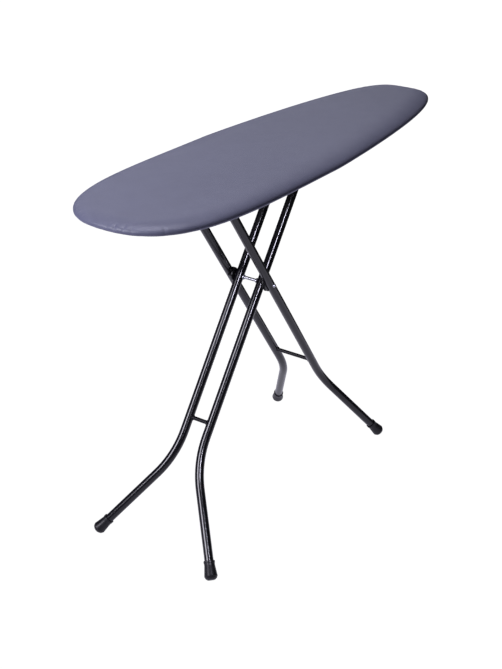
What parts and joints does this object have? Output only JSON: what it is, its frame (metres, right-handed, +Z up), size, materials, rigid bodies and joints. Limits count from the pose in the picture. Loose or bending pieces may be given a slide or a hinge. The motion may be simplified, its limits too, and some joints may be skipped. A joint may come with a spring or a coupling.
{
  "type": "ironing board",
  "caption": "Folding ironing board: padded fabric-covered board, wide and blunt at one end and tapered at the other, on two crossing splayed tube frames",
  "frame": {"origin": "on the floor, under the middle of the board's box", "axes": "+X to the board's nose, +Z up, +Y to the left"},
  "size_m": [1.325, 0.39, 0.904],
  "materials": {
    "cover_fabric": "plain-weave cotton, charcoal blue-grey",
    "felt": "needled felt",
    "black_steel": "satin black powder coat",
    "zinc": "bright zinc plate",
    "black_plastic": "moulded, fine grain",
    "rubber": "matt",
    "nylon": "natural nylon"
  },
  "bodies": {
    "board": {"cover": "cover_fabric", "pad": "felt", "mesh_top": "black_steel", "rim_frame": "black_steel", "cross_rails": "black_steel", "hinge_bracket_left": "black_steel", "hinge_bracket_right": "black_steel", "hinge_pin_left": "zinc", "hinge_pin_right": "zinc", "rack_channel": "black_steel", "rod_guide": "black_steel", "lever_bracket": "black_steel", "lever_pin": "zinc", "lever_spring": "zinc", "bracket_screws": "zinc"},
    "lever": {"release_lever": "black_steel", "lever_grip": "black_plastic"},
    "push_rod": {"push_rod": "zinc"},
    "keeper": {"keeper_rail": "black_steel", "keeper_pins": "zinc"},
    "outer_frame": {"outer_tube_left": "black_steel", "outer_tube_right": "black_steel", "outer_crossbar": "black_steel", "outer_end_cap_left": "black_plastic", "outer_end_cap_right": "black_plastic", "outer_foot_left": "rubber", "outer_foot_right": "rubber", "pivot_rod": "zinc", "pivot_cap_left": "zinc", "pivot_cap_right": "zinc", "pivot_block_left": "black_plastic", "pivot_block_right": "black_plastic", "rod_collar_left": "zinc", "rod_collar_right": "zinc"},
    "inner_frame": {"inner_tube_left": "black_steel", "inner_tube_right": "black_steel", "inner_crossbar": "black_steel", "inner_end_cap_left": "black_plastic", "inner_end_cap_right": "black_plastic", "inner_foot_left": "rubber", "inner_foot_right": "rubber", "slider_bar": "zinc", "slider_glides": "nylon"}
  },
  "joints": [
    {"name": "fold", "type": "hinge", "parent": "board", "child": "outer_frame", "pos_m": [-0.32072, 0, 0.865], "axis": [0, -1, 0], "range_deg": [0, 52.5]},
    {"name": "scissor", "type": "hinge", "parent": "outer_frame", "child": "inner_frame", "pos_m": [-0.123, 0, 0.58678], "axis": [0, -1, 0], "range_deg": [-105, 0]},
    {"name": "lever_squeeze", "type": "hinge", "parent": "board", "child": "lever", "pos_m": [-0.41, 0, 0.8545], "axis": [0, 1, 0], "range_deg": [0, 20], "stiffness_Nm_per_rad": 1.2, "springref_deg": -20.05},
    {"name": "rod_slide", "type": "slide", "parent": "board", "child": "push_rod", "axis": [1, 0, 0], "range_m": [0, 0.00801]},
    {"name": "keeper_drop", "type": "slide", "parent": "board", "child": "keeper", "axis": [0.8482, 0, -0.5296], "range_m": [0, 0.00944]}
  ],
  "couplings": [
    {"joint": "scissor", "follows": "fold", "ratio": -2},
    {"joint": "rod_slide", "follows": "lever_squeeze", "m_per_rad": 0.022938},
    {"joint": "keeper_drop", "follows": "lever_squeeze", "m_per_rad": 0.027043}
  ]
}
